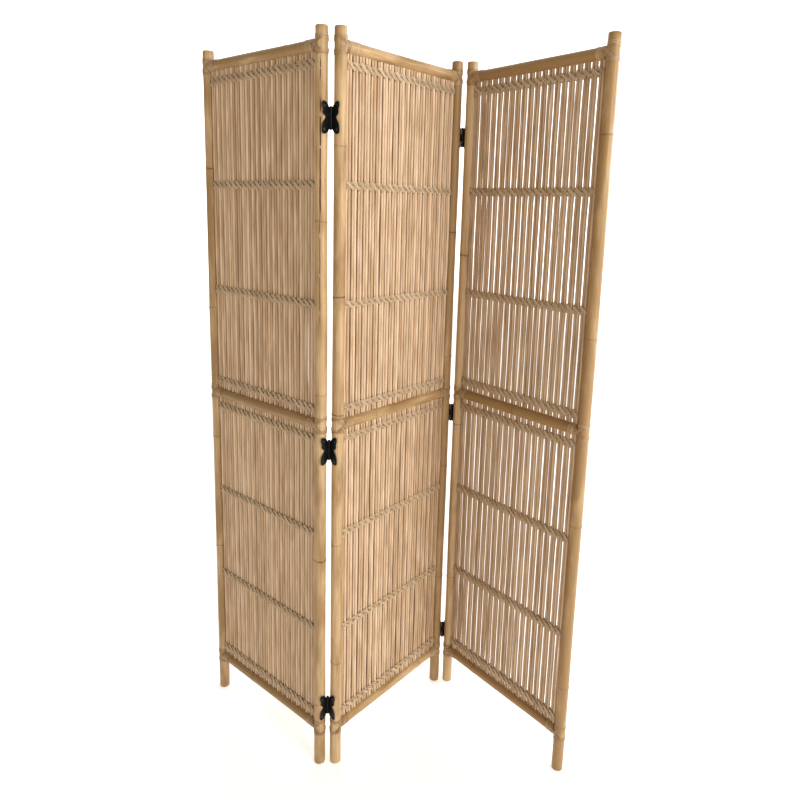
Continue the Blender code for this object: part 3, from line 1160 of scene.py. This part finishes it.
@dataclass
class Hinge:
    """A butterfly hinge: two winged leaves, a barrel of three knuckles, a pin and four screws."""

    centre: Vector
    outer_yaw: float
    mid_yaw: float
    turned: bool

    WIDTH = 25 * MM
    HALF_HEIGHT = 34 * MM
    THICKNESS = 1.2 * MM
    NEAR = 0.15 * MM
    BARREL = 24 * MM
    SPLIT = 9 * MM
    BORE = 1.6 * MM
    PIN_RADIUS = 1.4 * MM
    SCREW_REACH = 17.8 * MM
    SCREW_HEIGHT = 24.5 * MM
    RECESS_REACH = 2.0 * MM
    RECESS_WIDTH = 0.62 * MM
    RECESS_DEPTH = 0.35 * MM
    WING = (
        (0.22, -0.70), (0.42, -0.90), (0.70, -1.0), (0.96, -0.93), (1.0, -0.66), (0.90, -0.34), (0.60, 0.02),
        (0.82, 0.20), (0.90, 0.34), (0.86, 0.48), (0.99, 0.74), (0.95, 0.94), (0.74, 1.0), (0.46, 0.90), (0.22, 0.66),
    )  # fmt: skip

    def frame(self, outer: bool) -> Matrix:
        """Return the space of a leaf: its pin on Z, the leaf towards -Y."""
        yaw = (self.outer_yaw if outer else self.mid_yaw) + (math.pi if self.turned else 0.0)
        return Matrix.Translation(self.centre) @ Matrix.Rotation(yaw, 4, "Z")

    def leaf(self, name: str, outer: bool, materials: list[bpy.types.Material]) -> bpy.types.Mesh:
        """Return a leaf with its knuckles.

        Args:
            name: The mesh's name.
            outer: Whether it is the outer panel's leaf, which owns the two end knuckles.
            materials: Its finish.

        Returns:
            The mesh.
        """
        hand = -1.0 if outer else 1.0
        shape = bmesh.new()
        plate = [shape.verts.new((0, -u, z)) for u, z in self._plate_outline(outer)]
        face = shape.faces.new(plate)
        sheet = bmesh.ops.extrude_face_region(shape, geom=[face], use_keep_orig=True)
        top = [item for item in sheet["geom"] if isinstance(item, bmesh.types.BMVert)]
        bmesh.ops.translate(shape, verts=top, vec=(self.THICKNESS, 0, 0))
        rims = [edge for edge in shape.edges if len(edge.link_faces) == 2 and edge.calc_face_angle(0) > 1.2]
        rims = [edge for edge in rims if abs(edge.verts[0].co.x - edge.verts[1].co.x) < 1e-6]
        bmesh.ops.bevel(shape, geom=rims, offset=0.32 * MM, segments=3, affect="EDGES", profile=0.6)
        for vert in shape.verts:
            vert.co.x = hand * (self.NEAR + vert.co.x)
        spans = ((-self.BARREL, -self.SPLIT), (self.SPLIT, self.BARREL)) if outer else ((-self.SPLIT, self.SPLIT),)
        for low, high in spans:
            ends = [(self.BORE, 0.1 * MM), (2.6 * MM, 0.1 * MM), (3 * MM, 0.5 * MM)]
            below = [(radius, low + inset) for radius, inset in ends]
            above = [(radius, high - inset) for radius, inset in reversed(ends)]
            self._turn(shape, [*below, *above])
        bmesh.ops.recalc_face_normals(shape, faces=shape.faces[:])
        shape.transform(self.frame(outer))
        return self._finish(name, shape, materials)

    def _plate_outline(self, outer: bool) -> list[tuple[float, float]]:
        """Return the plate's outline as distances from the pin and heights, its root cut for the knuckles.

        Args:
            outer: Whether it is the outer panel's leaf.

        Returns:
            The outline's corners, in order.
        """
        wing = [(self.WIDTH * u, self.HALF_HEIGHT * z) for u, z in self.WING]
        curve = smooth_closed([*wing, (0.2 * self.WIDTH, 0.0)], 5)
        curve = [(point.x, point.y) for point in curve[: 5 * (len(wing) - 1) + 1]]
        inner, clear = 1.9 * MM, 3.7 * MM
        root, notch = (inner, clear) if outer else (clear, inner)
        barrel = self.BARREL - 0.2 * MM
        tail = [(root, barrel), (root, self.SPLIT), (notch, self.SPLIT), (notch, -self.SPLIT), (root, -self.SPLIT)]
        return [*curve, *tail, (root, -barrel)]

    @staticmethod
    def _turn(shape: bmesh.types.BMesh, profile: list[tuple[float, float]], sides: int = 28) -> None:
        """Add a turned solid about Z.

        Args:
            shape: What the solid is added to.
            profile: Radii and heights, from the axis to the axis, or a loop off the axis for a tube.
            sides: How many sides the solid has.
        """
        rings = []
        for radius, height in profile:
            if radius == 0:
                rings.append([shape.verts.new((0, 0, height))])
                continue
            angles = [2 * math.pi * step / sides for step in range(sides)]
            rings.append([shape.verts.new((radius * math.cos(a), radius * math.sin(a), height)) for a in angles])
        if profile[0][0] > 0:
            rings.append(rings[0])
        for first, second in zip(rings, rings[1:]):
            for step in range(sides):
                after = (step + 1) % sides
                near = [first[place % len(first)] for place in (step, after)]
                far = [second[place % len(second)] for place in (after, step)]
                shape.faces.new(list(dict.fromkeys([*near, *far])))

    @staticmethod
    def _finish(name: str, shape: bmesh.types.BMesh, materials: list[bpy.types.Material]) -> bpy.types.Mesh:
        """Turn a bmesh into a finished mesh.

        Args:
            name: The mesh's name.
            shape: The bmesh, which is freed.
            materials: Its finish.

        Returns:
            The mesh.
        """
        mesh = bpy.data.meshes.new(name)
        shape.to_mesh(mesh)
        shape.free()
        for material in materials:
            mesh.materials.append(material)
        mesh.shade_smooth()
        mesh.set_sharp_from_angle(angle=math.radians(38))
        return mesh

    def pin(self, name: str, materials: list[bpy.types.Material]) -> bpy.types.Mesh:
        """Return the pin with its two domed heads.

        Args:
            name: The mesh's name.
            materials: Its finish.

        Returns:
            The mesh.
        """
        shape = bmesh.new()
        top = self.BARREL
        dome = ((2.4, 0.1), (2.35, 0.45), (1.8, 0.8), (1.0, 0.97), (0.0, 1.0))
        upper = [(self.PIN_RADIUS, top), *[(radius * MM, top + rise * MM) for radius, rise in dome]]
        lower = [(radius, -height) for radius, height in reversed(upper)]
        self._turn(shape, [*lower, *upper])
        bmesh.ops.recalc_face_normals(shape, faces=shape.faces[:])
        shape.transform(self.frame(False))
        return self._finish(name, shape, materials)

    def screw(
        self, name: str, outer: bool, way: float, turn: float, materials: list[bpy.types.Material]
    ) -> bpy.types.Mesh:
        """Return a screw's flat head with a cross recess, seated on a lobe of a leaf.

        Args:
            name: The mesh's name.
            outer: Whether the leaf is the outer panel's.
            way: 1 for the upper lobe and -1 for the lower.
            turn: How far the recess is turned.
            materials: Its finish.

        Returns:
            The mesh.
        """
        shape = bmesh.new()
        sides = 32
        face = ((0.0, 0.24), (0.45, 0.24), (1.0, 0.24), (1.7, 0.23), (2.2, 0.2), (2.75, 0.1))
        profile = (*face, (3.0, -0.1), (3.0, -0.6), (0.0, -0.6))
        self._turn(shape, [(radius * MM, height * MM) for radius, height in profile], sides)
        for vert in shape.verts:
            angle = math.atan2(vert.co.y, vert.co.x) - turn
            radius = math.hypot(vert.co.x, vert.co.y)
            groove = abs(math.sin(2 * angle)) * radius
            if vert.co.z > 0.15 * MM and radius < self.RECESS_REACH and groove < self.RECESS_WIDTH:
                vert.co.z = -self.RECESS_DEPTH
        bmesh.ops.recalc_face_normals(shape, faces=shape.faces[:])
        hand = -1.0 if outer else 1.0
        seat = Matrix.Rotation(-hand * math.pi / 2, 4, "Y")
        reach = Matrix.Translation((hand * self.NEAR, -self.SCREW_REACH, way * self.SCREW_HEIGHT))
        shape.transform(self.frame(outer) @ reach @ seat)
        return self._finish(name, shape, materials)


# ---------------------------------------------------------------- the screen


LEVELS = ("bottom", "mid", "top")
HINGE_SCAR_SWELL = 0.15 * MM
POST_RINGS = {
    "left_panel_left_post": [(1.513, 0.85), (1.15, 0.5), (0.789, 0.5), (0.459, 0.55)],
    "left_panel_right_post": [(1.39, 0.5), (0.99, 0.3), (0.572, 0.95), (0.172, 0.5)],
    "mid_panel_left_post": [(1.554, 0.4), (1.221, 0.95), (0.943, 0.9), (0.612, 0.4), (0.29, 0.45)],
    "mid_panel_right_post": [(1.364, 1.0), (1.02, 0.35), (0.70, 0.4), (0.35, 0.35)],
    "right_panel_left_post": [(1.303, 0.85), (0.823, 0.55), (0.35, 0.5)],
    "right_panel_right_post": [(1.592, 0.55), (1.14, 0.35), (0.678, 0.55), (0.24, 0.3)],
}
RAIL_RINGS = {
    "left_panel_bottom_rail": [(0.15, 0.6)],
    "left_panel_top_rail": [(0.31, 0.3)],
    "mid_panel_bottom_rail": [(0.33, 0.6)],
    "mid_panel_mid_rail": [(0.12, 0.35)],
    "right_panel_mid_rail": [(0.21, 0.55)],
    "right_panel_bottom_rail": [(0.11, 0.4)],
}
# Tones of each panel's left post, right post and rails: partly tone that differs from pole to pole, partly painted
# shade that darkens the poles in shade, most of all the left and right panels' rails.
POLE_TONES_AND_SHADE = {"left_panel": (0.7, 0.45, 1.3), "mid_panel": (0.3, 1.0, 0.3), "right_panel": (0.1, 1.0, 1.8)}
SPLIT_POST = "left_panel_right_post"
SPLITS = (
    Crack(-0.90, 1.40, 1.66, 1.5 * MM),
    Crack(-0.92, 1.68, 1.74, 1.0 * MM),
    Crack(-0.98, 1.15, 1.50, 0.7 * MM),
)
LONG_SLEEVES = {("mid_panel", "top", "left"): 34 * MM, ("left_panel", "top", "right"): 26 * MM}
SLEEVE = 20 * MM
# Each lay also holds painted shade: the rods' sides at the gaps between pairs, and the right panel's darker left
# rods.
ROD_LAYS = {
    "left_panel": RodLay(8.4 * MM, 0.3 * MM, 0.75 * MM, 0.6, 0.42),
    "mid_panel": RodLay(8.4 * MM, 0.3 * MM, -0.75 * MM, 0.85, 0.8),
    "right_panel": RodLay(7.45 * MM, 0.15 * MM, 0.0, 0.95, 0.3, 0.25),
}


@dataclass
class Screen:
    """The whole folding screen."""

    panels: dict[str, PanelFrame]

    BAND_STEPS = (0.0, 0.322, 0.670, 1.0)
    BAND_OFFSET = 37 * MM
    POST_RADIUS = 14 * MM
    RAIL_RADIUS = 13.5 * MM

    @classmethod
    def from_frame(cls) -> "Screen":
        """Read where the panels stand."""
        return cls({name: PanelFrame.of(name) for name in ("left_panel", "mid_panel", "right_panel")})

    def build(self) -> None:
        """Build and dress every piece."""
        self.build_poles()
        self.build_weaves()
        self.build_lashings()
        self.build_hinges()

    def build_poles(self) -> None:
        """Build the posts and rails."""
        cut = CutEndFinish().material()
        plain = POLE_FINISH.material()
        seed = 0
        for name, panel in self.panels.items():
            run = np.array(panel.along)
            back = np.array(panel.matrix)[:3, 1]
            levels = [panel.rail_height(level) for level in LEVELS]
            hinges = [middle_of(f"left_fold_{level}_hinge_pin").z for level in LEVELS]
            for side in ("left", "right"):
                seed += 1
                node = f"{name}_{side}_post"
                foot = np.array(middle_of(node)) * np.array([1, 1, 0])
                rings = [
                    GrowthRing(
                        place,
                        darkness,
                        swell=HINGE_SCAR_SWELL if min(abs(place - h) for h in hinges) < 0.045 else 0.55 * MM,
                        turn=seed * 2.1 + place * 9,
                    )
                    for place, darkness in POST_RINGS[node]
                ]
                pole = Pole(
                    f"{node}_pole", foot, foot + np.array([0, 0, panel.height]), run, self.POST_RADIUS, rings, seed,
                    chamfer=1.3 * MM, calm=(*levels, *hinges), tone=POLE_TONES_AND_SHADE[name][side == "right"],
                )  # fmt: skip
                finish = plain
                if node == SPLIT_POST:
                    finish = replace(
                        POLE_FINISH, name="split_rattan_pole", cracks=SPLITS, offset=pole.fibre_offset
                    ).material()
                show(pole.name, pole.mesh([finish, cut]), name, Slot.POLE, node)
            for level, height in zip(LEVELS, levels):
                seed += 1
                node = f"{name}_{level}_rail"
                middle = np.array(panel.middle) + np.array([0, 0, height])
                reach = run * panel.half_spacing
                rings = [GrowthRing(place, darkness, turn=seed * 1.3) for place, darkness in RAIL_RINGS.get(node, [])]
                pole = Pole(
                    f"{node}_pole", middle - reach, middle + reach, back, self.RAIL_RADIUS, rings, seed,
                    cope=self.POST_RADIUS, calm=(0.0, 2 * panel.half_spacing), tone=POLE_TONES_AND_SHADE[name][2],
                )  # fmt: skip
                show(pole.name, pole.mesh([plain, cut]), name, Slot.POLE, node)

    def build_weaves(self) -> None:
        """Build the rods and the woven bands of the six bays."""
        rods_finish = ROD_FINISH.material()
        bands_finish = BAND_FINISH.material()
        seed = 100
        for name, panel in self.panels.items():
            for bay, (below, above) in {"lower": ("bottom", "mid"), "upper": ("mid", "top")}.items():
                seed += 1
                node = f"{name}_{bay}_weave"
                low, high = panel.rail_height(below), panel.rail_height(above)
                first, last = low + self.BAND_OFFSET, high - self.BAND_OFFSET
                heights = [first + step * (last - first) for step in self.BAND_STEPS]
                rods = RodBay(f"{name}_{bay}_rods", panel, low, high, heights, seed, ROD_LAYS[name])
                bands = Bands(f"{name}_{bay}_bands", panel, heights, seed + 50, ROD_LAYS[name].girth)
                show(rods.name, rods.strands().mesh(rods.name, [rods_finish]), name, Slot.RODS, node)
                show(bands.name, bands.strands().mesh(bands.name, [bands_finish]), name, Slot.CANE, node)

    def build_lashings(self) -> None:
        """Bind every joint of post and rail."""
        finish = LASHING_FINISH.material()
        seed = 300
        for name, panel in self.panels.items():
            for level in LEVELS:
                for side, way in (("left", 1.0), ("right", -1.0)):
                    seed += 1
                    node = f"{name}_{level}_{side}_lashing"
                    sleeve = LONG_SLEEVES.get((name, level, side), SLEEVE)
                    lashing = Lashing(f"{node}_cane", panel, way, panel.rail_height(level), sleeve, seed)
                    show(lashing.name, lashing.strands().mesh(lashing.name, [finish]), name, Slot.CANE, node)

    def build_hinges(self) -> None:
        """Build the six hinges and their screws."""
        steel, pin_steel, screw_steel = [f.material() for f in (HINGE_FINISH, PIN_FINISH, SCREW_FINISH)]
        chance = np.random.default_rng(77)
        mid_yaw = math.atan2(self.panels["mid_panel"].along.y, self.panels["mid_panel"].along.x)
        for fold, outer_body in (("left", "left_panel"), ("right", "right_panel")):
            outer_along = self.panels[outer_body].along
            for level in LEVELS:
                node = f"{fold}_fold_{level}_hinge"
                outer_yaw = math.atan2(outer_along.y, outer_along.x)
                hinge = Hinge(middle_of(f"{node}_pin"), outer_yaw, mid_yaw, turned=fold == "right")
                for part, outer, body in (("outer_leaf", True, outer_body), ("mid_leaf", False, "mid_panel")):
                    name = f"{node}_{part}"
                    show(f"{name}_steel", hinge.leaf(f"{name}_steel", outer, [steel]), body, Slot.HINGE, name)
                    for lobe, way in (("upper", 1.0), ("lower", -1.0)):
                        screw = f"{name}_{lobe}_screw"
                        mesh = hinge.screw(screw, outer, way, chance.uniform(0, 1.5), [screw_steel])
                        show(screw, mesh, body, Slot.HINGE)
                pin = hinge.pin(f"{node}_pin_steel", [pin_steel])
                show(f"{node}_pin_steel", pin, "mid_panel", Slot.PIN, f"{node}_pin")


# ---------------------------------------------------------------- studio


@dataclass(frozen=True)
class Studio:
    """A white floor, soft light and the viewer's camera."""

    eye: Place = (0.0189, -1.6677, 1.4228)
    pitch: float = 10.717
    yaw: float = -0.437
    roll: float = 1.460
    lens: float = 30.02
    rise: float = -0.08125

    def build(self) -> None:
        """Set up everything round the object."""
        self._sheet("studio_floor", Matrix.Translation((0, 0, -0.0005)), 14.0, 0.45)
        upright = Matrix.Translation((0, 9, 9)) @ Matrix.Rotation(math.pi / 2, 4, "X")
        self._sheet("studio_backdrop", upright, 14.0, 1.0)
        self._lights()
        self._camera()
        view = bpy.context.scene.view_settings
        view.view_transform = "Standard"
        view.look = "None"
        view.gamma = 0.8

    @staticmethod
    def _sheet(name: str, matrix: Matrix, half_side: float, glow: float) -> None:
        """Stand a square white sheet in the studio, a little luminous so that it stays pale.

        Args:
            name: Its name.
            matrix: Where its middle is and how it's turned.
            half_side: Half the length of its side.
            glow: How much light it gives.
        """
        shape = bmesh.new()
        bmesh.ops.create_grid(shape, x_segments=1, y_segments=1, size=half_side)
        shape.transform(matrix)
        mesh = bpy.data.meshes.new(name)
        shape.to_mesh(mesh)
        shape.free()
        graph = Graph(name)
        white = graph.finish(
            Base_Color=(0.8, 0.8, 0.8), Roughness=0.9, Emission_Color=(1, 1, 1), Emission_Strength=glow,
            Specular_IOR_Level=0.0,
        )  # fmt: skip
        mesh.materials.append(white)
        sheet = bpy.data.objects.new(name, mesh)
        bpy.context.scene.collection.objects.link(sheet)
        sheet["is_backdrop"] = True

    @staticmethod
    def _lamp(name: str, place: Place, aim: Place, size: float, power: float, colour: Colour) -> None:
        """Hang a square soft light.

        Args:
            name: Its name.
            place: Where it hangs.
            aim: What it points at.
            size: The length of its side.
            power: Its power in watts.
            colour: Its colour.
        """
        lamp = bpy.data.lights.new(name, "AREA")
        lamp.shape, lamp.size, lamp.energy, lamp.color = "SQUARE", size, power, colour
        holder = bpy.data.objects.new(name, lamp)
        holder.location = place
        holder.rotation_euler = (Vector(aim) - Vector(place)).to_track_quat("-Z", "Y").to_euler()
        bpy.context.scene.collection.objects.link(holder)

    def _lights(self) -> None:
        """Light the middle panel nearly face on, and everything else from all round."""
        world = bpy.data.worlds.new("studio_world")
        world.use_nodes = True
        world.node_tree.nodes["Background"].inputs["Color"].default_value = (1.0, 0.93, 0.79, 1.0)
        world.node_tree.nodes["Background"].inputs["Strength"].default_value = 0.47
        bpy.context.scene.world = world
        self._lamp("key", (2.75, -2.75, 2.2), (0.0, 0.0, 0.9), 2.0, 104.0, (0.93, 0.965, 1.0))
        self._lamp("rim", (3.9, 0.9, 2.0), (0.3, 0.0, 0.9), 1.4, 70.0, (0.96, 0.97, 1.0))

    def _camera(self) -> None:
        """Stand the camera where the viewer's eye is."""
        pitch, yaw, roll = (math.radians(angle) for angle in (self.pitch, self.yaw, self.roll))
        right = Vector((math.cos(yaw), math.sin(yaw), 0))
        ahead = Vector((-math.sin(yaw) * math.cos(pitch), math.cos(yaw) * math.cos(pitch), -math.sin(pitch)))
        above = right.cross(ahead)
        x = math.cos(roll) * right + math.sin(roll) * above
        y = -math.sin(roll) * right + math.cos(roll) * above
        lens = bpy.data.cameras.new("viewer")
        lens.lens, lens.sensor_width, lens.shift_y = self.lens, 36.0, self.rise
        camera = bpy.data.objects.new("viewer", lens)
        camera.matrix_world = Matrix.Translation(self.eye) @ Matrix((x, y, -ahead)).transposed().to_4x4()
        bpy.context.scene.collection.objects.link(camera)
        bpy.context.scene.camera = camera


def corners() -> list[list[float]]:
    """Return the shown object's box as plain lists."""
    return [[round(value, 6) for value in corner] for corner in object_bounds()]


def main() -> None:
    """Build the screen round its frame and light it."""
    logging.basicConfig(level=logging.INFO, format="%(name)s: %(message)s")
    for old in list(bpy.data.objects):
        bpy.data.objects.remove(old)
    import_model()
    Screen.from_frame().build()
    Studio().build()


if __name__ == "__main__":
    main()
